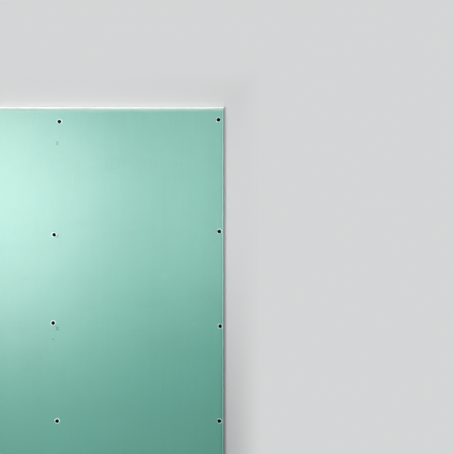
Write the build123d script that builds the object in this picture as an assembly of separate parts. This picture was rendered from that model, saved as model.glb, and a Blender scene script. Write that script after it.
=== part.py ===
from build123d import *
import os

# A sheet of moisture-resistant plasterboard that was screwed up once and taken down again.
# It lies face up: X runs across the width, Y along the length and Z up, and the end at +Y is the trimmed one.
# The origin is the middle of the back, on the floor. Every length is in millimetres.

# The sheet as it is sold
sheet_width = 900.0
sheet_length = 1800.0
sheet_thickness = 12.5
face_liner = 0.4
back_liner = 0.4

# The long edges, thinner towards the face so that tape and filler lie flush between two sheets
taper_width = 50.0
taper_depth = 1.3
taper_blend_radius = 600.0
face_edge_radius = 2.0
back_edge_radius = 1.2

# The face liner wraps both long edges and is folded in under the back liner
fold_width = 25.0
back_liner_inset = 6.0

# The slant that a knife left along the end at +Y
trim_width = 3.6
trim_depth = 5.0
trim_overrun_share = 1.0

# The hole of a drywall screw: its shank, and the seat that its head pressed into the gypsum
shank_radius = 1.95
seat_radius = 4.1
seat_depth = 3.8

# The face liner tore round the head and the back liner burst round the point.
# The ragged edge turns a little from one hole to the next.
tear_radius = 5.9
burst_radius = 3.1
tear_turn = 137.0
tear_radius_shares = [1.00, 0.88, 0.97, 0.86, 1.04, 0.91, 0.85, 0.98, 0.87, 0.93]

# The rows of holes: one along each long edge and one down the middle
edge_inset = 12.0
end_inset = 37.0
fixing_pitch = 250.0
first_fixing = 98.0

# How far the screws nearest the trimmed end strayed from their row, counted from that end.
# Each pair is a share of the stray across the sheet and along it, towards the trimmed end.
screw_stray = 15.0
middle_row_stray_shares = [(0.40, -0.18), (-0.53, 0.20), (-0.73, 1.00)]
right_row_stray_shares = [(-0.15, 0.18), (0.00, 0.80), (0.15, 0.40)]

cutter_overrun = 2.0

half_width = sheet_width / 2
half_length = sheet_length / 2
edge_height = sheet_thickness - taper_depth


def face_height(x):
    """Height of the face above the floor, at x across the sheet."""
    into_taper = max(0, abs(x) - (half_width - taper_width))
    return sheet_thickness - taper_depth * into_taper / taper_width


def wrapped_section():
    """Section of everything that the face liner wraps, the liner with it."""
    right_side = [
        (half_width, back_liner),
        (half_width, edge_height),
        (half_width - taper_width, sheet_thickness),
    ]
    left_side = [(-x, z) for x, z in reversed(right_side)]
    radii = [back_edge_radius, face_edge_radius, taper_blend_radius]
    outline = FilletPolyline(*right_side, *left_side, radius=radii + radii[::-1], close=True)
    return make_face(outline)


def core_section(wrapped):
    """Section of the gypsum: it fills the face liner and comes down between the two folds to the back liner."""
    inside_liner = offset(wrapped, amount=-face_liner)
    between_folds = Rectangle(
        sheet_width - 2 * fold_width,
        face_liner + cutter_overrun,
        align=(Align.CENTER, Align.MIN),
    )
    return inside_liner + Pos(0, back_liner) * between_folds


def run_along_sheet(section):
    """A section across the sheet, drawn out to the full length."""
    return extrude(Plane.XZ * section, amount=half_length, both=True)


def trim_cutter():
    """The wedge that the knife took off the face along the end at +Y."""
    past_width = trim_width * trim_overrun_share
    past_depth = trim_depth * trim_overrun_share
    low = (half_length + past_width, sheet_thickness - trim_depth - past_depth)
    high = (half_length - trim_width - past_width, sheet_thickness + past_depth)
    corner = (low[0], high[1])
    wedge = make_face(Polyline(low, corner, high, close=True))
    return extrude(Plane.YZ * wedge, amount=half_width + cutter_overrun, both=True)


def screw_hole(x, y):
    """The space that one screw left in the sheet: its shank, and the seat of its head in the gypsum."""
    rim = face_height(x) - face_liner
    top = rim + cutter_overrun
    seat_slope = (seat_radius - shank_radius) / seat_depth
    profile = Polyline(
        (0, -cutter_overrun),
        (shank_radius, -cutter_overrun),
        (shank_radius, rim - seat_depth),
        (seat_radius + seat_slope * cutter_overrun, top),
        (0, top),
        close=True,
    )
    return Pos(x, y, 0) * revolve(Plane.XZ * make_face(profile), axis=Axis.Z)


def torn_opening(x, y, bottom, radius, turn):
    """The ragged hole that a screw tore in a liner, turned by so many degrees, from bottom upwards."""
    step = 360 / len(tear_radius_shares)
    corners = [
        Vector(radius * share, 0).rotate(Axis.Z, turn + step * i)
        for i, share in enumerate(tear_radius_shares)
    ]
    outline = make_face(Polyline(*corners, close=True))
    return Pos(x, y, bottom) * extrude(outline, amount=sheet_thickness)


def fixing_distances():
    """Distances of the holes of one row from the trimmed end."""
    last = sheet_length - end_inset
    distances = [end_inset]
    distance = first_fixing + fixing_pitch
    while distance < last - fixing_pitch / 2:
        distances.append(distance)
        distance += fixing_pitch
    return distances + [last]


def fixing_places():
    """Where the screws went: the strayed ones near the trimmed end and the rest in line."""
    rows = [
        (-half_width + edge_inset, []),
        (0, middle_row_stray_shares),
        (half_width - edge_inset, right_row_stray_shares),
    ]
    places = []
    for row_x, stray_shares in rows:
        for i, distance in enumerate(fixing_distances()):
            across_share, along_share = stray_shares[i] if i < len(stray_shares) else (0, 0)
            x = row_x + screw_stray * across_share
            y = half_length - distance + screw_stray * along_share
            places.append((x, y))
    return places


def back_liner_strip():
    """The back liner, which stops short of the long edges and covers the folds."""
    width = sheet_width - 2 * back_liner_inset
    return Box(width, sheet_length, back_liner, align=(Align.CENTER, Align.CENTER, Align.MIN))


def main():
    wrapped = wrapped_section()
    core = core_section(wrapped)
    sheet = {
        "gypsum_core": run_along_sheet(core),
        "face_paper": run_along_sheet(wrapped - core),
        "back_paper": back_liner_strip(),
    }
    places = fixing_places()
    cutters = [trim_cutter()] + [screw_hole(x, y) for x, y in places]
    for name, bottom, radius in [
        ("face_paper", edge_height / 2, tear_radius),
        ("back_paper", -cutter_overrun, burst_radius),
    ]:
        sheet[name] -= [
            torn_opening(x, y, bottom, radius, tear_turn * i)
            for i, (x, y) in enumerate(places)
        ]
    os.makedirs("parts", exist_ok=True)
    for name, piece in sheet.items():
        export_step(piece - cutters, f"parts/{name}.step")


main()
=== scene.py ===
import bpy
import numpy as np
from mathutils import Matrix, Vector


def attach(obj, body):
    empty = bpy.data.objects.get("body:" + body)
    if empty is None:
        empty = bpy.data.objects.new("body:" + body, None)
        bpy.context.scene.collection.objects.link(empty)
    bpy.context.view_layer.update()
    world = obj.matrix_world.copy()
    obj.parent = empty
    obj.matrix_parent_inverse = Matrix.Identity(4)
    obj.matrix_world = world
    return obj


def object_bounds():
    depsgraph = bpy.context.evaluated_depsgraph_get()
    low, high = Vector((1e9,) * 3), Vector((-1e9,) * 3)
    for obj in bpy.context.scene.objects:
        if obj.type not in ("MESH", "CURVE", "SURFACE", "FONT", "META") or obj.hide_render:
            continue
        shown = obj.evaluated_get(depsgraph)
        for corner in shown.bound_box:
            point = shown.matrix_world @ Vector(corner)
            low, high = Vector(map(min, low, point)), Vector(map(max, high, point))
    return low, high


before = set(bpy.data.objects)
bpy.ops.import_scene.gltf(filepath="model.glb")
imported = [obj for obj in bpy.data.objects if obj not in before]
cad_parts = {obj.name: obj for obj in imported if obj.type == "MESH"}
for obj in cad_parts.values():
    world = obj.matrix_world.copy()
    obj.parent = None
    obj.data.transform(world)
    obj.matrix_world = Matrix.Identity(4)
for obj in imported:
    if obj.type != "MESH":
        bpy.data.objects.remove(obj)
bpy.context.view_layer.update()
halfWidth, halfLength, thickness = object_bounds()[1]
millimetre = 0.001

# Sizes of the sheet and its screw holes, as they were made
sheet = {
    "taperWidth": 50 * millimetre,
    "taperDepth": 1.3 * millimetre,
    "liner": 0.4 * millimetre,
    "trimWidth": 3.6 * millimetre,
    "trimDepth": 5.0 * millimetre,
    "shankRadius": 1.95 * millimetre,
    "seatRadius": 4.1 * millimetre,
    "seatDepth": 3.8 * millimetre,
}


def faceHeight(x):  # height of the face at x: level, then down the taper towards each long edge
    intoTaper = np.maximum(0, np.abs(x) - (halfWidth - sheet["taperWidth"]))
    return thickness - sheet["taperDepth"] * intoTaper / sheet["taperWidth"]


def link(tree, socket, value):  # a socket takes either a plain value or another node's output
    if isinstance(value, bpy.types.NodeSocket):
        tree.links.new(value, socket)
    else:
        socket.default_value = value


def addNode(tree, kind, inputs, **settings):
    made = tree.nodes.new("ShaderNode" + kind)
    for name, value in settings.items():
        setattr(made, name, value)
    for name, value in inputs.items():
        link(tree, made.inputs[name], value)
    return made


def maths(tree, operation, first, second=0.0, third=0.0):
    return addNode(tree, "Math", {0: first, 1: second, 2: third}, operation=operation).outputs[0]


def times(tree, first, second):
    return maths(tree, "MULTIPLY", first, second)


def more(tree, first, second):  # the larger of the two
    return maths(tree, "MAXIMUM", first, second)


def scaled(tree, value, factor, plus):
    return maths(tree, "MULTIPLY_ADD", value, factor, plus)


def vectorMaths(tree, operation, first, second=(0, 0, 0)):
    return addNode(tree, "VectorMath", {0: first, 1: second}, operation=operation).outputs


def axesOf(tree, vector):
    return addNode(tree, "SeparateXYZ", {0: vector}).outputs


def blendColour(tree, amount, below, above, mode="MIX"):
    made = addNode(tree, "Mix", {}, data_type="RGBA", blend_type=mode)
    for number, value in ((0, amount), (6, below), (7, above)):
        link(tree, made.inputs[number], value)
    return made.outputs[2]


def ease(tree, value, low, high, fromLow=0.0, toHigh=1.0):  # smooth step from low to high
    inputs = {"Value": value, "From Min": low, "From Max": high, "To Min": fromLow, "To Max": toHigh}
    return addNode(tree, "MapRange", inputs, interpolation_type="SMOOTHSTEP").outputs[0]


# In every dictionary below a grain is: size of its blobs across, along and up in mm, detail, roughness, shift
def grain(tree, place, size, detail, rough, shift=0.0):
    scale = [1 / (length * millimetre) for length in size]
    mapping = {"Vector": place, "Scale": scale, "Location": (shift, shift, shift)}
    mapped = addNode(tree, "Mapping", mapping).outputs[0]
    inputs = {"Vector": mapped, "Scale": 1.0, "Detail": detail, "Roughness": rough}
    return addNode(tree, "TexNoise", inputs).outputs["Fac"]


def patches(tree, place, facts, edges, shares=(0.0, 1.0)):  # a grain, eased between two of its levels
    return ease(tree, grain(tree, place, *facts), *edges, *shares)


def ridges(tree, layers):  # one bump after another: (height, depth in mm)
    normal = None
    for height, depth in layers:
        inputs = {"Height": height, "Distance": depth * millimetre, "Strength": 1.0}
        if normal is not None:
            inputs["Normal"] = normal
        normal = addNode(tree, "Bump", inputs).outputs[0]
    return normal


def startMaterial(name):
    material = bpy.data.materials.new(name)
    material.use_nodes = True
    tree = material.node_tree
    tree.nodes.clear()
    return material, tree, addNode(tree, "TexCoord", {}).outputs["Object"]


def endMaterial(tree, colour, roughness, normal, extra):
    inputs = {"Base Color": colour, "Roughness": roughness, "Normal": normal, **extra}
    shader = addNode(tree, "BsdfPrincipled", inputs)
    output = tree.nodes.new("ShaderNodeOutputMaterial")
    tree.links.new(shader.outputs[0], output.inputs[0])


def dress(piece, material):
    piece.data.materials.clear()
    piece.data.materials.append(material)


# Flecks show where a grain stands above an edge, which is lower where they cover more
fleck = {
    "edge": 0.72,
    "edgePerCoverage": 0.30,
    "softness": 0.05,
    "detail": 2.0,
    "roughness": 0.6,
}


def speck(tree, place, size, coverage, shift):  # 1 in scattered flecks of that size in mm, and 0 between them
    pattern = grain(tree, place, size, fleck["detail"], fleck["roughness"], shift)
    edge = fleck["edge"] - fleck["edgePerCoverage"] * coverage
    return ease(tree, pattern, edge, edge + fleck["softness"])


def shadedLiner(tree, place, liner):  # a liner's grains by name, and its paper, shaded by them and flecked
    grains, shade = {}, 1.0
    for name, (*facts, depth) in liner["grains"].items():
        grains[name] = grain(tree, place, *facts)
        shade = times(tree, shade, scaled(tree, grains[name], depth, 1 - depth / 2))
    grey = addNode(tree, "CombineColor", {0: shade, 1: shade, 2: shade}).outputs[0]
    colour = blendColour(tree, 1.0, liner["paper"], grey, "MULTIPLY")
    for name, size, coverage, shift, share in liner["flecks"]:
        flecks = speck(tree, place, size, coverage, shift)
        colour = blendColour(tree, times(tree, flecks, share), colour, liner[name])
    return grains, colour


# The green face liner
faceLiner = {
    "paper": (0.125, 0.405, 0.319, 1),
    "fibre": (0.60, 0.70, 0.66, 1),  # where the green is rubbed off
    "cutEdge": (0.36, 0.36, 0.31, 1),  # the grey middle of the paper, where it is cut
    "smudge": (0.075, 0.24, 0.19, 1),
    "grains": {  # each with how deeply it shades the green
        "fibres": ((1.0, 3.4, 1.0), 4, 0.6, 0.0, 0.16),
        "threads": ((3.0, 60, 3.0), 3, 0.5, 3.0, 0.07),
        "streaks": ((14, 700, 14), 2, 0.5, 7.0, 0.06),
        "cloud": ((160, 220, 160), 3, 0.5, 11.0, 0.07),
        "blots": ((35, 45, 35), 2, 0.5, 15.0, 0.05),
    },
    "flecks": [  # (colour, size in mm, coverage, shift, share)
        ("fibre", (0.5, 2.6, 0.5), 0.30, 21.0, 0.20),
        ("smudge", (0.6, 2.2, 0.6), 0.25, 27.0, 0.28),
    ],
    "grime": ((260, 100, 260), 4, 0.6, 71.0),
    "grimeEdges": (0.50, 0.72),
    "grimeShare": 0.10,
    "fuzz": ((0.8, 0.8, 0.8), 3, 0.65, 81.0),  # of the bare paper
    "roughness": 0.352,
    "roughnessRange": 0.05,
    "rubbedRoughness": (0.5, 0.30),  # rise where it is rubbed off, and least
    "ior": 1.715,
    "fibreRelief": 0.03,  # in mm, as every relief below
    "threadRelief": 0.02,
    "fuzzRelief": 0.10,
    "wrap": (3.3 * millimetre, 1.8 * millimetre),  # below the face, where it goes over to the wrapped edge
    "cutSlopes": (0.25, 0.45),  # the normal's share along the sheet, from which a surface is a cut edge
}


def greenLiner(tree, place):  # grains, colour and roughness of the face liner where nothing rubbed it
    grains, colour = shadedLiner(tree, place, faceLiner)
    spread = faceLiner["roughnessRange"]
    roughness = scaled(tree, grains["cloud"], spread, faceLiner["roughness"] - spread / 2)
    return grains, colour, roughness


def onFace(tree, axes):  # 1 on the face, and 0 down the wrapped edges and on the back
    low, high = (thickness - depth for depth in faceLiner["wrap"])
    return ease(tree, axes["Z"], low, high)


# Marks that handling left on the face: across and along from the right-hand corner of the trimmed end
scuffs = {
    "breaks": ((2.2, 5.0, 2.2), 3, 0.6, 33.0),  # the grain that breaks them up
    "breakEdges": (0.36, 0.58),
    "breakShares": (0.5, 1.1),
    "fade": (0.35, 1.25),  # from and to, over the mark's half size
    "pale": [  # (across, along, width, length in mm, turn in degrees, strength)
        (48, 166, 1.6, 20, 0, 0.20),
        (124, 318, 1.8, 16, -30, 0.16),
        (84.5, 588, 16, 1.6, 0, 0.16),
        (159, 456, 25, 20, 0, 0.05),
        (503, 31, 4, 34, 0, 0.07),
        (408, 197, 4, 40, 0, 0.05),
    ],
    "dark": [
        (361, 580, 20, 2.4, 0, 0.16),
        (71, 503, 4, 50, 0, 0.12),
        (305, 166, 36, 5, 6, 0.12),
        (283, 157, 10, 9, 0, 0.13),
        (237, 604, 40, 14, 0, 0.09),
        (534, 463, 34, 16, 0, 0.09),
        (494, 677, 14, 12, 0, 0.12),
        (461, 627, 7.5, 3.8, 12, 1.60),
        (183, 676, 18, 14, 0, 0.10),
    ],
}


def scuffField(tree, place, marks):  # each mark falls off from its middle as an ellipse does
    broken = patches(tree, place, scuffs["breaks"], scuffs["breakEdges"], scuffs["breakShares"])
    field = 0.0
    for across, along, width, length, turn, strength in marks:
        middle = (halfWidth - across * millimetre, halfLength - along * millimetre, 0)
        centred = vectorMaths(tree, "SUBTRACT", place, middle)[0]
        mapping = {"Vector": centred, "Rotation": (0, 0, np.radians(turn)), "Scale": (1, 1, 0)}
        turned = addNode(tree, "Mapping", mapping).outputs[0]
        halves = (2 / (width * millimetre), 2 / (length * millimetre), 0)
        away = vectorMaths(tree, "LENGTH", vectorMaths(tree, "MULTIPLY", turned, halves)[0])["Value"]
        field = more(tree, field, times(tree, ease(tree, away, *scuffs["fade"], 1.0, 0.0), strength))
    return times(tree, field, broken)


# Plain crosses printed down the middle of the face, to screw the sheet by
guideMarks = {
    "pitch": 250 * millimetre,
    "first": 98 * millimetre,  # from the trimmed end
    "arm": 5.6 * millimetre,  # half of its height
    "armFade": (1.9, 2.1),  # shares of the arm, in the sum of both ways
    "lean": 0.68,  # its width over its height
    "line": 0.85 * millimetre,  # half of its width
    "lineFade": (1.3, 2.1),  # shares of the line
    "ink": (0.016, 0.075, 0.060, 1),
    "inkShare": 0.86,
    "worn": ((1.8, 1.8, 1.8), 3, 0.6, 41.0),
    "wornEdges": (0.30, 0.50),
    "wornShares": (0.45, 1.0),
}


def guideCrosses(tree, place, axes):  # |x / lean ± y| is small for one way and within the arm for both
    pitch = guideMarks["pitch"]
    fromFirst = maths(tree, "SUBTRACT", halfLength - guideMarks["first"] + pitch / 2, axes["Y"])
    along = maths(tree, "SUBTRACT", maths(tree, "FLOORED_MODULO", fromFirst, pitch), pitch / 2)
    across = maths(tree, "DIVIDE", axes["X"], guideMarks["lean"])
    ways = [maths(tree, "ABSOLUTE", maths(tree, way, across, along)) for way in ("ADD", "SUBTRACT")]
    lineFade = [guideMarks["line"] * share for share in guideMarks["lineFade"]]
    armFade = [guideMarks["arm"] * share for share in guideMarks["armFade"]]
    onLine = ease(tree, maths(tree, "MINIMUM", *ways), *lineFade, 1.0, 0.0)
    withinArm = ease(tree, more(tree, *ways), *armFade, 1.0, 0.0)
    worn = patches(tree, place, guideMarks["worn"], guideMarks["wornEdges"], guideMarks["wornShares"])
    inked = times(tree, onFace(tree, axes), guideMarks["inkShare"])
    return times(tree, times(tree, times(tree, onLine, withinArm), worn), inked)


# Where the knife and rasp took the green off, along the trimmed end
scraped = {
    "colour": (0.55, 0.585, 0.565, 1),
    "width": 5.2 * millimetre,
    "widthGrain": ((55, 1000, 1000), 2, 0.5, 51.0),
    "widthEdges": (0.30, 0.62),
    "widthShares": (0.80, 1.10),
    "rightPart": (220 * millimetre, 360 * millimetre),  # across, where it goes over to the right-hand share
    "rightShare": 0.88,
    "ragged": 1.6 * millimetre,
    "raggedGrain": ((1.4, 3.4, 3.4), 3, 0.65, 55.0),
    "bareFade": (0.45, 1.50),  # shares of the width
    "bareShare": 0.86,
    "rubbedFade": (0.90, 2.50),
    "rubbedShare": 0.30,
}


def scrapedBand(tree, place, axes):
    fromEnd = maths(tree, "SUBTRACT", halfLength - sheet["trimWidth"], axes["Y"])
    uneven = patches(tree, place, scraped["widthGrain"], scraped["widthEdges"], scraped["widthShares"])
    width = times(tree, uneven, scraped["width"])
    width = times(tree, width, ease(tree, axes["X"], *scraped["rightPart"], 1.0, scraped["rightShare"]))
    ragged = scaled(tree, grain(tree, place, *scraped["raggedGrain"]), 2 * scraped["ragged"], fromEnd)
    share = maths(tree, "DIVIDE", maths(tree, "SUBTRACT", ragged, scraped["ragged"]), width)
    bare = ease(tree, share, *scraped["bareFade"], scraped["bareShare"], 0.0)
    rubbed = ease(tree, share, *scraped["rubbedFade"], scraped["rubbedShare"], 0.0)
    return times(tree, more(tree, bare, rubbed), onFace(tree, axes))


def edgeDistance(tree, axes):  # from the nearer of the two wrapped edges
    return maths(tree, "SUBTRACT", halfWidth, maths(tree, "ABSOLUTE", axes["X"]))


# Rubbed spots along the two wrapped edges
edgeRub = {
    "spots": ((3.0, 22, 3.0), 4, 0.65, 61.0),
    "spotEdges": (0.42, 0.64),
    "ragged": 4.0 * millimetre,
    "raggedGrain": ((0.8, 3.0, 0.8), 3, 0.6, 65.0),
    "fade": (1.8 * millimetre, 4.6 * millimetre),
    "share": 0.50,
}


def edgeWear(tree, place, axes):
    ragged = grain(tree, place, *edgeRub["raggedGrain"])
    away = scaled(tree, ragged, edgeRub["ragged"], edgeDistance(tree, axes))
    spots = patches(tree, place, edgeRub["spots"], edgeRub["spotEdges"], (0.0, edgeRub["share"]))
    return times(tree, ease(tree, away, *edgeRub["fade"], 1.0, 0.0), spots)


# The score that the liner is folded by, along the wrapped edges: a groove in relief that is darkened with
# painted shade, and outside it a painted highlight line
edgeShadeAndHighlight = {
    "groove": 6.2 * millimetre,
    "grooveHalf": 1.5 * millimetre,
    "grooveShare": 0.75,
    "paintedGrooveShade": (0.042, 0.270, 0.186, 1),
    "grooveRelief": -0.3,
    "line": 3.3 * millimetre,
    "lineHalf": 1.6 * millimetre,
    "lineShare": 0.37,
    "paintedHighlight": (0.300, 0.680, 0.560, 1),
    "soft": (0.2, 1.6),  # shares of its half width
    "faint": ((20, 110, 20), 3, 0.55, 67.0),
    "faintEdges": (0.30, 0.60),
    "faintShares": (0.55, 1.15),
}


def edgeShadeAndHighlightShares(tree, place, axes):  # shares of the groove's painted shade and of the painted highlight line
    faint = patches(tree, place, edgeShadeAndHighlight["faint"], edgeShadeAndHighlight["faintEdges"], edgeShadeAndHighlight["faintShares"])
    faint = times(tree, faint, onFace(tree, axes))
    away = edgeDistance(tree, axes)
    shares = []
    for name in ("groove", "line"):
        off = maths(tree, "ABSOLUTE", maths(tree, "SUBTRACT", away, edgeShadeAndHighlight[name]))
        low, high = (edgeShadeAndHighlight[name + "Half"] * share for share in edgeShadeAndHighlight["soft"])
        soft = ease(tree, off, low, high, edgeShadeAndHighlight[name + "Share"], 0.0)
        shares.append(times(tree, soft, faint))
    return shares


def facePaperMaterial():
    material, tree, place = startMaterial("greenLiner")
    axes = axesOf(tree, place)
    grains, colour, roughness = greenLiner(tree, place)
    grime = patches(tree, place, faceLiner["grime"], faceLiner["grimeEdges"], (0.0, faceLiner["grimeShare"]))
    groove, paintedHighlightLine = edgeShadeAndHighlightShares(tree, place, axes)
    wear = more(tree, scuffField(tree, place, scuffs["pale"]), edgeWear(tree, place, axes))
    band = scrapedBand(tree, place, axes)
    slopes = axesOf(tree, addNode(tree, "NewGeometry", {}).outputs["True Normal"])
    for share, above in (
        (grime, faceLiner["smudge"]),
        (scuffField(tree, place, scuffs["dark"]), faceLiner["smudge"]),
        # painted shade along the groove, and a painted highlight line outside it
        (groove, edgeShadeAndHighlight["paintedGrooveShade"]),
        (paintedHighlightLine, edgeShadeAndHighlight["paintedHighlight"]),
        (wear, faceLiner["fibre"]),
        (band, scraped["colour"]),
        (guideCrosses(tree, place, axes), guideMarks["ink"]),
        (ease(tree, maths(tree, "ABSOLUTE", slopes["Y"]), *faceLiner["cutSlopes"]), faceLiner["cutEdge"]),
    ):
        colour = blendColour(tree, share, colour, above)
    roughness = more(tree, roughness, scaled(tree, more(tree, wear, band), *faceLiner["rubbedRoughness"]))
    normal = ridges(tree, [
        (grains["fibres"], faceLiner["fibreRelief"]),
        (grains["threads"], faceLiner["threadRelief"]),
        (groove, edgeShadeAndHighlight["grooveRelief"]),
        (times(tree, grain(tree, place, *faceLiner["fuzz"]), band), faceLiner["fuzzRelief"]),
    ])
    endMaterial(tree, colour, roughness, normal, {"IOR": faceLiner["ior"]})
    return material


# The liner where it is torn open
tornPaper = {
    "fibre": (0.54, 0.80, 0.72, 1),
    "paleFibre": (0.76, 0.90, 0.86, 1),
    "bareUneven": (0.7, -0.35),  # factor of the fuzz, and shift
    "bareEdges": (0.25, 0.70),
    "stainAndHoleShade": (0.006, 0.006, 0.005, 1),  # from the screws' coating on the torn rims, and painted shade on the burst flaps down the holes
    "stainUneven": 0.5,
    "stainEdges": (1.55, 1.85),
    "roughness": (0.45, 0.35),  # rise where it is bare, and least
    "fuzzRelief": 0.20,
    "fuzzOnBand": 0.5,
}


# Green where the attribute torn is 0, bare pale fibre where it is 1, and blackened where it is 2
def tornPaperMaterial():
    material, tree, place = startMaterial("tornLiner")
    grains, colour, roughness = greenLiner(tree, place)
    band = scrapedBand(tree, place, axesOf(tree, place))
    torn = addNode(tree, "Attribute", {}, attribute_name="torn").outputs["Fac"]
    fuzz = grain(tree, place, *faceLiner["fuzz"])
    uneven = maths(tree, "ADD", torn, scaled(tree, fuzz, *tornPaper["bareUneven"]))
    bare = ease(tree, uneven, *tornPaper["bareEdges"])
    stained = ease(tree, scaled(tree, fuzz, tornPaper["stainUneven"], torn), *tornPaper["stainEdges"])
    fibre = blendColour(tree, fuzz, tornPaper["fibre"], tornPaper["paleFibre"])
    for share, above in ((band, scraped["colour"]), (bare, fibre), (stained, tornPaper["stainAndHoleShade"])):
        colour = blendColour(tree, share, colour, above)
    roughness = more(tree, roughness, scaled(tree, more(tree, bare, band), *tornPaper["roughness"]))
    nap = times(tree, fuzz, more(tree, bare, times(tree, band, tornPaper["fuzzOnBand"])))
    normal = ridges(tree, [(grains["fibres"], faceLiner["fibreRelief"]), (nap, tornPaper["fuzzRelief"])])
    endMaterial(tree, colour, roughness, normal, {"IOR": faceLiner["ior"]})
    return material


# Gypsum: white, close-grained, with the small round voids that its foam left, sunk in relief and darkened
# with painted shade
gypsum = {
    "white": (0.87, 0.88, 0.86, 1),
    "damp": (0.74, 0.76, 0.73, 1),
    "dampGrain": ((12, 12, 6), 3, 0.55, 5.0),
    "dampEdges": (0.40, 0.70),
    "dampShare": 0.45,
    "voidPaintedShade": (0.50, 0.51, 0.49, 1),
    "voidPitch": 1.15 * millimetre,
    "voidSizes": (0.30, 0.02),  # rise to the largest and least, over the pitch
    "voidPower": 2.0,  # the higher, the more of them are small
    "voidShadeShare": 0.70,
    "voidRelief": 0.25,
    "fine": ((0.6, 0.6, 0.6), 4, 0.65),
    "fineRelief": 0.12,
    "roughness": (0.12, 0.84),  # rise with the fine grain, and least
    "ior": 1.52,
}


def gypsumMaterial():
    material, tree, place = startMaterial("gypsum")
    inPitches = addNode(tree, "Mapping", {"Vector": place, "Scale": [1 / gypsum["voidPitch"]] * 3}).outputs[0]
    inputs = {"Vector": inPitches, "Scale": 1.0, "Randomness": 1.0}
    cells = addNode(tree, "TexVoronoi", inputs, feature="F1").outputs
    random = addNode(tree, "SeparateColor", {0: cells["Color"]}).outputs[0]
    size = scaled(tree, maths(tree, "POWER", random, gypsum["voidPower"]), *gypsum["voidSizes"])
    pit = ease(tree, maths(tree, "DIVIDE", cells["Distance"], size), 0.0, 1.0, 1.0, 0.0)
    damp = patches(tree, place, gypsum["dampGrain"], gypsum["dampEdges"], (0.0, gypsum["dampShare"]))
    colour = blendColour(tree, damp, gypsum["white"], gypsum["damp"])
    # painted shade in the voids
    colour = blendColour(tree, times(tree, pit, gypsum["voidShadeShare"]), colour, gypsum["voidPaintedShade"])
    fine = grain(tree, place, *gypsum["fine"])
    whole = maths(tree, "SUBTRACT", 1.0, pit)
    normal = ridges(tree, [(fine, gypsum["fineRelief"]), (whole, gypsum["voidRelief"])])
    endMaterial(tree, colour, scaled(tree, fine, *gypsum["roughness"]), normal, {"IOR": gypsum["ior"]})
    return material


# The grey liner on the back: waste paper, with its flecks and the faint ribs of the felt
backLiner = {
    "paper": (0.330, 0.305, 0.262, 1),
    "pale": (0.52, 0.50, 0.45, 1),
    "dark": (0.150, 0.135, 0.115, 1),
    "grains": {  # each with how deeply it shades the grey
        "cloud": ((50, 80, 50), 3, 0.55, 5.0, 0.24),
        "fibres": ((1.0, 3.6, 1.0), 4, 0.62, 0.0, 0.30),
    },
    "flecks": [  # (colour, size in mm, coverage, shift, share)
        ("pale", (1.1, 4.4, 1.1), 0.35, 9.0, 0.55),
        ("dark", (1.2, 3.4, 1.2), 0.30, 13.0, 0.55),
    ],
    "fibreRelief": 0.10,
    "rib": 2.2 * millimetre,
    "ribRelief": 0.015,
    "roughness": (0.16, 0.68),  # rise with the fibres, and least
}


def backLinerMaterial():
    material, tree, place = startMaterial("backLiner")
    grains, colour = shadedLiner(tree, place, backLiner)
    rib = maths(tree, "SINE", times(tree, axesOf(tree, place)["X"], 2 * np.pi / backLiner["rib"]))
    normal = ridges(tree, [(grains["fibres"], backLiner["fibreRelief"]), (rib, backLiner["ribRelief"])])
    endMaterial(tree, colour, scaled(tree, grains["fibres"], *backLiner["roughness"]), normal, {})
    return material


materials = {
    "face": facePaperMaterial(),
    "torn": tornPaperMaterial(),
    "gypsum": gypsumMaterial(),
    "back": backLinerMaterial(),
}
dress(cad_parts["face_paper"], materials["face"])
dress(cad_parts["gypsum_core"], materials["gypsum"])
dress(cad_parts["back_paper"], materials["back"])
print("liners and gypsum coloured")


# Places of the faces' corners on a square map: along a run of rows is u, and round the section is v.
# Each run is cut into so many folds, and each fold gets its own cell. The cells of one run stand one above
# another, and those of many pieces fill the square. The closing faces are small rings above the cells.
def bakeMap(pieces, gaps, columns, folds):
    cells = pieces * folds
    across = 1 if pieces == 1 else int(np.ceil(np.sqrt(cells)))
    down = -(-cells // across)
    perFold = -(-gaps // folds)
    piece, gap, column = np.meshgrid(np.arange(pieces), np.arange(gaps), np.arange(columns), indexing="ij")
    cell = (piece * folds + gap // perFold)[..., None]
    u = ((gap % perFold)[..., None] + np.array([0, 1, 1, 0])) / perFold
    v = (column[..., None] + np.array([0, 0, 1, 1])) / columns
    cover = 0.98  # of a cell, and of the square's height by the cells
    u = (cell % across + 0.5 + cover * (u - 0.5)) / across
    v = (cell // across + 0.5 + cover * (v - 0.5)) / down * cover
    turn = 2 * np.pi * np.arange(columns) / columns
    radius = (1 - cover) / 3
    ends = (np.arange(2 * pieces)[:, None] + 0.5) / (2 * pieces)
    heights = 1 - (1 - cover) / 2 + radius * np.sin(turn) + 0 * ends
    rings = np.stack([ends + radius * np.cos(turn), heights], axis=-1)
    return np.stack([u, v], axis=-1).reshape(-1, 4, 2), rings


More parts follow.
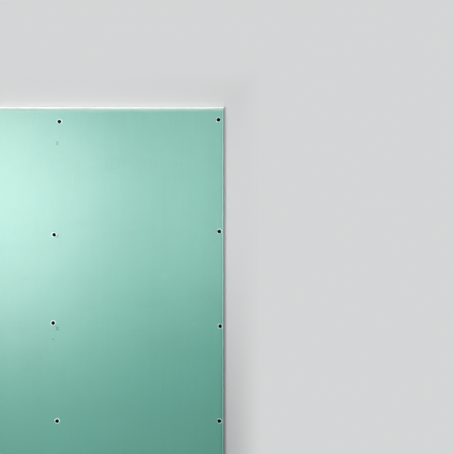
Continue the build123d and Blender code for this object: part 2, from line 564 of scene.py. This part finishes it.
# Joins the points of each grid [piece, row, column] into faces, and closes the sections. A point is joined to
# the next one of its row and of its column, and the last column of a section to its first. With loopAcross
# the last row is joined to the first too, and otherwise a face closes each end. The faces look outwards.
def addSurface(name, grids, material, loopAcross=False, torn=None, folds=1):
    pieces, rows, columns = grids.shape[:3]
    index = np.arange(rows * columns).reshape(rows, columns)
    closed = np.hstack([index, index[:, :1]])
    if loopAcross:
        closed = np.vstack([closed, closed[:1]])
    corners = [closed[:-1, :-1], closed[1:, :-1], closed[1:, 1:], closed[:-1, 1:]]
    faces = np.stack(corners, axis=-1).reshape(-1, 4)
    points = grids.reshape(-1, 3)
    first, second, third, fourth = (points[faces[:, corner]] for corner in range(4))
    volume = (np.cross(first, second) * third + np.cross(first, third) * fourth).sum()
    starts = np.arange(pieces)[:, None, None] * rows * columns
    allFaces = (faces[None] + starts).reshape(-1, 4).tolist()
    places, rings = bakeMap(pieces, rows if loopAcross else rows - 1, columns, folds)
    allPlaces = list(places)
    if not loopAcross:
        allFaces += [(end + start).tolist() for start in starts[:, 0] for end in (index[0], index[-1][::-1])]
        allPlaces += list(rings)
    if volume < 0:
        allFaces = [face[::-1] for face in allFaces]
        allPlaces = [places[::-1] for places in allPlaces]
    mesh = bpy.data.meshes.new(name)
    mesh.from_pydata(points.tolist(), [], allFaces)
    mesh.update()
    flat = np.concatenate(allPlaces).astype(np.float32).ravel()
    mesh.uv_layers.new(name="OFBake").uv.foreach_set("vector", flat)
    if torn is not None:
        values = np.broadcast_to(torn, grids.shape[:3]).astype(np.float32).ravel()
        mesh.attributes.new("torn", "FLOAT", "POINT").data.foreach_set("value", values)
    piece = bpy.data.objects.new(name, mesh)
    bpy.context.scene.collection.objects.link(piece)
    dress(piece, material)
    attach(piece, "root")


def gridOf(x, y, z):
    return np.stack(np.broadcast_arrays(x, y, z), axis=-1)


# Noise from -1 to 1: random values at the corners of squares of that size, eased between the nearest four
def unevenness(u, v, size, seed):
    u, v = np.broadcast_arrays(u / size, v / size)
    u, v = u - u.min(), v - v.min()
    row, column = u.astype(int), v.astype(int)
    corners = np.random.default_rng(seed).uniform(-1, 1, (row.max() + 2, column.max() + 2))
    s, t = u - row, v - column
    s, t = s * s * (3 - 2 * s), t * t * (3 - 2 * t)
    near = corners[row, column] * (1 - s) + corners[row + 1, column] * s
    far = corners[row, column + 1] * (1 - s) + corners[row + 1, column + 1] * s
    return near * (1 - t) + far * t


def layered(x, z, mean, layers, seed):  # the mean plus each layer of noise: (size in mm, height)
    for step, (size, height) in enumerate(layers):
        mean = mean + height * unevenness(x, z, size * millimetre, seed + step)
    return mean


# Sums cosines of the turn, one for each order, of random phase and falling height, one row for each hole
def wobble(turns, count, orders, seed, fall=0.6):
    orders = np.arange(*orders)
    phases = np.random.default_rng(seed).uniform(0, 2 * np.pi, (count, 1, len(orders)))
    heights = orders ** -fall
    waves = np.cos(turns[None, :, None] * orders + phases) * heights
    return waves.sum(-1) / np.sqrt((heights ** 2).sum() / 2)


def fullTurn(steps):
    return np.linspace(0, 2 * np.pi, steps, endpoint=False)


def aroundHoles(centres, turns, radius):  # x and y at each turn and radius round each hole
    x = centres[:, 0, None, None] + radius * np.cos(turns)[None, :, None]
    y = centres[:, 1, None, None] + radius * np.sin(turns)[None, :, None]
    return x, y


def nodePoints(name):  # corners of a CAD node's mesh
    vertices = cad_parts[name].data.vertices
    points = np.empty(len(vertices) * 3)
    vertices.foreach_get("co", points)
    return points.reshape(-1, 3)


# How far off the corners of a hole are looked for in the CAD meshes
search = {
    "underside": 3,  # liners up from the floor
    "ring": 2.5,  # shank radii from any corner of the ring
    "tear": 2,  # seat radii from the middle
}


def holeCentres():  # the screw holes, each the middle of its ring of points at the gypsum's underside
    points = nodePoints("gypsum_core")
    inside = np.abs(points[:, 1]) < halfLength - sheet["trimWidth"]
    left = points[inside & (points[:, 2] < search["underside"] * sheet["liner"])][:, :2]
    centres = []
    while len(left):
        near = np.hypot(*(left - left[0]).T) < search["ring"] * sheet["shankRadius"]
        ring = left[near]
        centres.append((ring.min(0) + ring.max(0)) / 2)
        left = left[~near]
    return np.array(centres)


# Radius of the face liner's own torn edge at each turn round one hole. Between two corners at radii p and q,
# a turn t apart, the chord at turn a past the first lies at p q sin(t) / (p sin(a) + q sin(t - a)).
def tornOutline(facePoints, centre, turns):
    x, y = (facePoints - centre).T
    close = np.hypot(x, y) < search["tear"] * sheet["seatRadius"]
    angles, firsts = np.unique(np.round(np.arctan2(y, x)[close] % (2 * np.pi), 3), return_index=True)
    radii = np.hypot(x, y)[close][firsts]
    after = np.searchsorted(angles, turns, side="right")
    angles = np.concatenate([angles[-1:] - 2 * np.pi, angles, angles[:1] + 2 * np.pi])
    radii = np.concatenate([radii[-1:], radii, radii[:1]])
    step, past = angles[after + 1] - angles[after], turns - angles[after]
    first, second = radii[after], radii[after + 1]
    return first * second * np.sin(step) / (first * np.sin(past) + second * np.sin(step - past))


# Paper that the screw heads tore and pushed up round each hole
tornRim = {
    "overhang": 0.42 * millimetre,  # of the rim into the hole, past the liner's torn edge
    "overhangAtTaper": 0.02 * millimetre,
    "overhangRagged": 0.14 * millimetre,
    "outer": 8.6 * millimetre,
    "outerAtTaper": 7.6 * millimetre,  # at the holes in the two tapers
    "outerRagged": 0.65 * millimetre,
    "lift": 0.34 * millimetre,
    "liftRagged": 0.15 * millimetre,
    "leastLift": 0.08 * millimetre,
    "steps": 96,
    # Its section, from the inner edge over the top and back underneath
    "share": np.array([0.0, 0.0, 0.05, 0.20, 0.45, 0.75, 1.0, 0.92, 0.45]),  # of the way to the outer edge
    "rise": np.array([0.0, 0.55, 1.0, 0.70, 0.38, 0.12, 0.0, 0.0, 0.0]),  # share of the lift
    "under": np.array([0.44, 0.05, 0.0, 0.0, 0.0, -0.02, 0.03, 0.20, 0.44]) * millimetre,  # the face
    "torn": np.array([2.0, 2.0, 1.6, 1.0, 0.75, 0.40, 0.0, 0.0, 1.0]),
}


# Carries a low closed section round each hole. At turn a and share s from the inner to the outer edge, the
# radius is inner(a) + s (outer(a) - inner(a)), where inner(a) is the liner's torn edge less the overhang.
# The top falls about as lift(a) (1 - s)^1.6 above the face, and the underside lies in the liner.
def tornRims(centres):
    turns, count = fullTurn(tornRim["steps"]), len(centres)
    tapered = (np.abs(centres[:, 0]) > halfWidth - sheet["taperWidth"])[:, None]
    overhang = np.where(tapered, tornRim["overhangAtTaper"], tornRim["overhang"])
    overhang = overhang + tornRim["overhangRagged"] * np.abs(wobble(turns, count, (3, 28), seed=3))
    points = nodePoints("face_paper")
    facePoints = points[points[:, 2] > thickness - sheet["taperDepth"] - 2 * sheet["liner"]][:, :2]
    inner = np.array([tornOutline(facePoints, centre, turns) for centre in centres]) - overhang
    outer = np.where(tapered, tornRim["outerAtTaper"], tornRim["outer"])
    outer = outer + tornRim["outerRagged"] * wobble(turns, count, (1, 9), seed=4)
    lift = tornRim["lift"] + tornRim["liftRagged"] * wobble(turns, count, (2, 11), seed=5)
    lift = np.maximum(tornRim["leastLift"], lift)
    x, y = aroundHoles(centres, turns, inner[..., None] + tornRim["share"] * (outer - inner)[..., None])
    z = faceHeight(x) + tornRim["rise"] * lift[..., None] - tornRim["under"]
    addSurface("tornRims", gridOf(x, y, z), materials["torn"], True, tornRim["torn"])


# Black left in the seats by the screws' coating, and painted shade: the same black coat carried down the
# shank, where the hole holds only shade
blackingAndHoleShade = {
    "black": (0.0022, 0.0025, 0.0022, 1),
    "rubbed": (0.018, 0.018, 0.017, 1),
    "rub": ((0.7, 0.7, 0.7), 3, 0.6),
    "rubEdges": (0.55, 0.80),
    "rubRelief": 0.1,
    "roughness": (0.2, 0.65),  # rise with the rub, and least
    "specular": 0.05,
    "brim": 6.3 * millimetre,  # radius to which it runs out under the torn paper
    "ragged": 0.25 * millimetre,
    # how far the coat of painted shade runs down the hole
    "depth": 9.0 * millimetre,
    "coat": 0.10 * millimetre,
    "bite": 0.03 * millimetre,  # into the gypsum
    "steps": 36,
}


def blackingAndHoleShadeMaterial():
    material, tree, place = startMaterial("screwBlackingAndHoleShade")
    rub = grain(tree, place, *blackingAndHoleShade["rub"])
    rubbed = ease(tree, rub, *blackingAndHoleShade["rubEdges"])
    colour = blendColour(tree, rubbed, blackingAndHoleShade["black"], blackingAndHoleShade["rubbed"])
    roughness = scaled(tree, rub, *blackingAndHoleShade["roughness"])
    normal = ridges(tree, [(rub, blackingAndHoleShade["rubRelief"])])
    endMaterial(tree, colour, roughness, normal, {"Specular IOR Level": blackingAndHoleShade["specular"]})
    return material


# Lines each seat and the top of its shank with a thin closed coat, black from the screws' coating in the seat
# and painted shade down the shank. Its section runs along the gypsum's face from the ragged brim to the seat,
# down the cone and on down the shank, and back up inside at the coat's thickness.
def screwBlackingAndHoleShade(centres):
    turns = fullTurn(blackingAndHoleShade["steps"])
    ragged = blackingAndHoleShade["ragged"] * np.abs(wobble(turns, len(centres), (2, 12), seed=8))
    brim = (blackingAndHoleShade["brim"] - ragged)[..., None]
    downCone = np.array([0.0, 0.0, 0.5, 1.0, 1.0])
    depth = np.append(downCone[:4] * sheet["seatDepth"], blackingAndHoleShade["depth"])
    seat = sheet["seatRadius"] + (sheet["shankRadius"] - sheet["seatRadius"]) * downCone
    outer = np.where(np.arange(5) == 0, brim, seat)
    inside = outer[..., ::-1] - blackingAndHoleShade["coat"]
    x, y = aroundHoles(centres, turns, np.concatenate([outer + blackingAndHoleShade["bite"], inside], axis=-1))
    topInside = -depth[::-1] + blackingAndHoleShade["coat"] * (downCone[::-1] == 0)
    level = np.concatenate([-depth - blackingAndHoleShade["bite"], topInside])
    followsFace = np.concatenate([depth == 0, depth[::-1] == 0])
    height = np.where(followsFace, faceHeight(x), faceHeight(centres[:, 0])[:, None, None])
    z = height - sheet["liner"] + level
    addSurface("screwBlackingAndHoleShade", gridOf(x, y, z), blackingAndHoleShadeMaterial(), True)


# Flaps of the back liner that the screw's point burst, and that fell back across the hole
burst = {
    "root": 3.5 * millimetre,  # where they are still whole liner
    "rootHeight": 0.25 * millimetre,
    "tip": 0.10 * millimetre,
    "tipRagged": 0.04 * millimetre,
    "leastTip": 0.03 * millimetre,
    "rise": 1.5 * millimetre,
    "riseRagged": 0.40 * millimetre,
    "risePower": 1.5,
    "thick": 0.15 * millimetre,
    "steps": 32,
    "shares": np.array([0.0, 0.35, 0.7, 1.0]),  # rows, from the root to the tip
    "holeShadeUneven": 0.5,
    "holeShadeEdges": (0.40, 0.75),
    "relief": 0.15,
    "roughness": 0.9,
    "specular": 0.15,
}


def burstLinerMaterial():  # grey where the attribute torn is 0, and darkened with painted shade where it is 1, at the tips that show down the hole
    material, tree, place = startMaterial("burstLiner")
    grains, colour = shadedLiner(tree, place, backLiner)
    torn = addNode(tree, "Attribute", {}, attribute_name="torn").outputs["Fac"]
    black = ease(tree, scaled(tree, grains["fibres"], burst["holeShadeUneven"], torn), *burst["holeShadeEdges"])
    # painted shade at the bottom of the hole
    colour = blendColour(tree, black, colour, tornPaper["stainAndHoleShade"])
    normal = ridges(tree, [(grains["fibres"], burst["relief"])])
    endMaterial(tree, colour, burst["roughness"], normal, {"Specular IOR Level": burst["specular"]})
    return material


# Closes each hole from the back with a thin ragged cone. At share s from the root to the tip the radius is
# root + s (tip - root), and the height is the root's plus rise s^1.5.
def burstFlaps(centres):
    turns, count = fullTurn(burst["steps"]), len(centres)
    tip = burst["tip"] + burst["tipRagged"] * wobble(turns, count, (2, 12), seed=13)
    rise = burst["rise"] + burst["riseRagged"] * wobble(turns, count, (2, 10), seed=14)
    shares = np.append(burst["shares"], burst["shares"][::-1])
    under = np.repeat([0.0, burst["thick"]], len(burst["shares"]))
    tip = np.maximum(burst["leastTip"], tip)[..., None]
    x, y = aroundHoles(centres, turns, burst["root"] + shares * (tip - burst["root"]))
    z = burst["rootHeight"] + rise[..., None] * shares ** burst["risePower"] - under
    addSurface("burstFlaps", gridOf(x, y, z), burstLinerMaterial(), True, shares)


# Broken gypsum over the two cut ends, with the rasped slant of the trimmed one
cutEnd = {
    "columns": 1200,
    "rows": 22,
    "inset": 0.7 * millimetre,  # from the wrapped edges
    "clear": 0.02 * millimetre,  # of the two liners
    "bury": 0.6 * millimetre,
    "rough": 0.34 * millimetre,
    "stand": 0.55,  # off the cut plane, as a share of the roughness
    "leastStand": 0.04,
    "layers": [(9.0, 0.5), (2.6, 0.35), (1.2, 0.25)],  # (size in mm, height)
    "rim": (0.15, 9),  # share that is left of it at the liners, and its rise from there down the cut
    "folds": 6,
}


def slantAt(z):  # how far the slanted cut has taken the end back at height z
    return sheet["trimWidth"] * np.maximum(0, z - (thickness - sheet["trimDepth"])) / sheet["trimDepth"]


# Covers a cut end, from under the face liner down to the back liner, with a closed strip. At x and share s
# down the cut the point stands off the cut plane by the roughness times the stand plus each layer's noise.
def brokenEnd(name, way, slanted, seed):
    x = np.linspace(-1, 1, cutEnd["columns"])[:, None] * (halfWidth - cutEnd["inset"])
    share = np.linspace(0, 1, cutEnd["rows"])[None, :]
    high = faceHeight(x) - sheet["liner"] - cutEnd["clear"]
    low = sheet["liner"] + cutEnd["clear"]
    z = high + (low - high) * share
    stand = layered(x, z, cutEnd["stand"], cutEnd["layers"], seed)
    least, slope = cutEnd["rim"]
    held = np.minimum(1, np.minimum(share, 1 - share) * slope + least)
    y = halfLength - slantAt(z) * slanted + np.maximum(cutEnd["leastStand"], stand) * held * cutEnd["rough"]
    front = gridOf(x, way * y, z)
    behind = gridOf(x, way * (y.min() - cutEnd["bury"]), z)[:, [-1, 0]]
    grid = np.concatenate([front, behind], axis=1)
    addSurface(name, grid[None], materials["gypsum"], folds=cutEnd["folds"])


# Lips of paper along the cut ends, which the knife left a little ragged
paperLip = {
    "columns": 1200,
    "inset": 2.6 * millimetre,
    "reach": 0.30 * millimetre,
    "reachMean": 0.5,
    "leastReach": 0.05,
    "reachLayers": [(3.0, 0.6), (1.0, 0.5)],  # (size in mm, height)
    "lift": 0.34 * millimetre,
    "liftSize": 8.0 * millimetre,
    "bareUneven": 0.25,
    "bareSize": 14.0 * millimetre,
    "folds": 8,
    # Its section, from the inner edge over the top to the tip and back underneath
    "back": np.array([2.6, 1.7, 0.9, 0.3, 0.0, 0.02, 0.4, 1.2, 2.4]) * millimetre,  # from the cut
    "tipShare": np.array([0, 0, 0, 0.2, 1, 0.9, 0, 0, 0]),
    "liftShare": np.array([0, 0.05, 0.35, 0.8, 1, 0.9, 0, 0, 0]),
    "height": np.array([-0.03, 0.02, 0.03, 0.04, -0.02, -0.18, -0.25, -0.22, -0.15]) * millimetre,
    "bare": np.array([0, 0, 0.30, 0.75, 1, 1, 1, 0.5, 0]),
}


# Lays a thin closed strip over the liner's cut edge. At x its tip stands past the edge by the reach times its
# mean plus its layers of noise, and up by the lift times the square of noise. The section's other points take
# shares of the two.
def raggedLip(name, way, slanted, seed):
    x = np.linspace(-1, 1, paperLip["columns"])[:, None] * (halfWidth - paperLip["inset"])
    level = faceHeight(x)
    reach = layered(x, 0, paperLip["reachMean"], paperLip["reachLayers"], seed)
    reach = np.maximum(paperLip["leastReach"], reach) * paperLip["reach"]
    lift = paperLip["lift"] * unevenness(x, 0, paperLip["liftSize"], seed + 2) ** 2
    y = way * (halfLength - slantAt(level) * slanted - paperLip["back"] + paperLip["tipShare"] * reach)
    z = level + paperLip["height"] + paperLip["liftShare"] * lift
    bare = paperLip["bare"] + paperLip["bareUneven"] * unevenness(x, 0, paperLip["bareSize"], seed + 3)
    grid, torn = gridOf(x, y, z)[None], np.clip(bare, 0, 1)
    addSurface(name, grid, materials["torn"], False, torn, folds=paperLip["folds"])


# Fibres that stand out of the back liner's two cut edges
backFray = {
    "columns": 1200,
    "inset": 7.0 * millimetre,  # from the long edges, which the liner itself stops short of
    "reach": 0.30 * millimetre,
    "reachMean": 0.5,
    "leastReach": 0.05,
    "reachLayers": [(4.0, 0.6), (1.5, 0.6)],  # (size in mm, height)
    "folds": 8,
    # Its section, from inside the liner over the top to the tip and back underneath
    "back": np.array([0.8, 0.1, 0.0, 0.0, 0.1, 0.8]) * millimetre,  # from the cut
    "tipShare": np.array([0, 0.25, 1, 0.85, 0.2, 0]),
    "height": np.array([0.34, 0.37, 0.25, 0.13, 0.03, 0.05]) * millimetre,
}


# Sets a thin closed strip into the back liner's cut edge. At x its tip stands past the edge by the reach
# times its mean plus its layers of noise.
def frayedBack(name, way, seed):
    x = np.linspace(-1, 1, backFray["columns"])[:, None] * (halfWidth - backFray["inset"])
    reach = layered(x, 0, backFray["reachMean"], backFray["reachLayers"], seed)
    reach = np.maximum(backFray["leastReach"], reach) * backFray["reach"]
    y = way * (halfLength - backFray["back"] + backFray["tipShare"] * reach)
    grid = gridOf(x, y, backFray["height"])[None]
    addSurface(name, grid, materials["back"], folds=backFray["folds"])


centres = holeCentres()
tornRims(centres)
screwBlackingAndHoleShade(centres)
burstFlaps(centres)
print(len(centres), "screw holes torn, blackened and burst")
brokenEnd("trimmedGypsum", 1, True, seed=10)
brokenEnd("squareGypsum", -1, False, seed=20)
raggedLip("trimmedLip", 1, True, seed=30)
raggedLip("squareLip", -1, False, seed=40)
frayedBack("trimmedFray", 1, seed=50)
frayedBack("squareFray", -1, seed=60)
print("cut ends roughened")

# Camera, straight above, and the photograph's frame on the sheet
viewpoint = {
    "pixel": 2.7 * millimetre,  # of the sheet, in one pixel of the photograph
    "side": 454,
    "edgeColumn": 223.8,  # the sheet's right long edge
    "endRow": 107.0,  # its trimmed end
    "height": 3.2,
    "sensor": 36.0,
}


def makeCamera():
    camera = bpy.data.objects.new("camera", bpy.data.cameras.new("camera"))
    bpy.context.scene.collection.objects.link(camera)
    half, pixel = viewpoint["side"] / 2, viewpoint["pixel"]
    camera.location = (
        halfWidth + (half - viewpoint["edgeColumn"]) * pixel,
        halfLength - (half - viewpoint["endRow"]) * pixel,
        thickness + viewpoint["height"],
    )
    camera.data.sensor_width = viewpoint["sensor"]
    camera.data.lens = viewpoint["sensor"] * viewpoint["height"] / (viewpoint["side"] * pixel)
    bpy.context.scene.camera = camera


# Studio: a faint sky and soft lamps up on the left, over the right edge, beyond the trimmed end and over the
# far end. The one beyond the trimmed end lies low, and its glare would whiten the face from the far end.
studio = {
    "lamps": {  # place, aim, (width, length), radiance, spread in degrees, whether gloss shows it
        "leftLamp": ((-0.52, 0.70, 1.51), (-0.10, 0.46, 0), (0.87, 0.92), 2.85, 95, True),
        "rightLamp": ((0.61, 0.72, 0.80), (0.60, 0.60, 0), (0.80, 0.80), 1.78, 180, True),
        "trimLamp": ((0.08, 3.50, 0.60), (0.10, 0.85, 0), (1.40, 0.80), 13.6, 180, False),
        "farLamp": ((0.20, -1.25, 0.91), (0.00, -1.23, 0), (1.20, 1.60), 1.06, 113, True),
    },
    "sky": 0.08,  # as a light
    "skySeen": 0.86,  # as the camera sees it
    "floor": (0.60, 0.605, 0.61, 1),
    "floorSeen": (0.66, 0.665, 0.67, 1),
    "floorMottle": ((400, 400, 400), 3, 0.5),
    "mottleShare": 0.10,
    "floorRoughness": 0.85,
    "floorFade": (0.004, 0.11),  # distances from the sheet over which the floor goes over to its seen colour
    "floorSide": 40.0,
    "floorDrop": 0.2 * millimetre,  # below the sheet
}


def addLamp(name, place, aim, size, radiance, spread, inGloss):  # power is radiance times pi times area
    lamp = bpy.data.lights.new(name, "AREA")
    lamp.shape, lamp.size, lamp.size_y = "RECTANGLE", *size
    lamp.energy = radiance * np.pi * size[0] * size[1]
    lamp.spread = np.radians(spread)
    holder = bpy.data.objects.new(name, lamp)
    bpy.context.scene.collection.objects.link(holder)
    holder.location = place
    holder.rotation_euler = (Vector(aim) - Vector(place)).to_track_quat("-Z", "Y").to_euler()
    holder.visible_camera = False
    holder.visible_glossy = inGloss


def makeSky():
    world = bpy.data.worlds.new("sky")
    world.use_nodes = True
    bpy.context.scene.world = world
    tree = world.node_tree
    seen = addNode(tree, "LightPath", {}).outputs["Is Camera Ray"]
    strength = scaled(tree, seen, studio["skySeen"] - studio["sky"], studio["sky"])
    background = tree.nodes["Background"]
    link(tree, background.inputs["Color"], (1, 1, 1, 1))
    link(tree, background.inputs["Strength"], strength)


def floorMaterial():  # painted floor that stays pale for the camera where the lamps no longer reach it
    material, tree, place = startMaterial("floorPaint")
    axes = axesOf(tree, place)
    mottle = times(tree, grain(tree, place, *studio["floorMottle"]), studio["mottleShare"])
    colour = blendColour(tree, mottle, studio["floor"], studio["floorSeen"])
    paint = addNode(tree, "BsdfPrincipled", {"Base Color": colour, "Roughness": studio["floorRoughness"]})
    glow = addNode(tree, "Emission", {"Color": studio["floorSeen"], "Strength": 1.0})
    beside = maths(tree, "SUBTRACT", maths(tree, "ABSOLUTE", axes["X"]), halfWidth)
    beyond = maths(tree, "SUBTRACT", maths(tree, "ABSOLUTE", axes["Y"]), halfLength)
    away = ease(tree, more(tree, beside, beyond), *studio["floorFade"])
    share = times(tree, away, addNode(tree, "LightPath", {}).outputs["Is Camera Ray"])
    mixed = addNode(tree, "MixShader", {0: share, 1: paint.outputs[0], 2: glow.outputs[0]})
    output = tree.nodes.new("ShaderNodeOutputMaterial")
    tree.links.new(mixed.outputs[0], output.inputs[0])
    return material


def makeFloor():
    reach, level = studio["floorSide"] / 2, -studio["floorDrop"]
    corners = [(-reach, -reach), (reach, -reach), (reach, reach), (-reach, reach)]
    mesh = bpy.data.meshes.new("floor")
    mesh.from_pydata([(x, y, level) for x, y in corners], [], [(0, 1, 2, 3)])
    floor = bpy.data.objects.new("floor", mesh)
    bpy.context.scene.collection.objects.link(floor)
    dress(floor, floorMaterial())


makeCamera()
for name, lamp in studio["lamps"].items():
    addLamp(name, *lamp)
makeSky()
makeFloor()
bpy.context.scene.view_settings.view_transform = "Standard"
print("camera, lamps and floor placed")
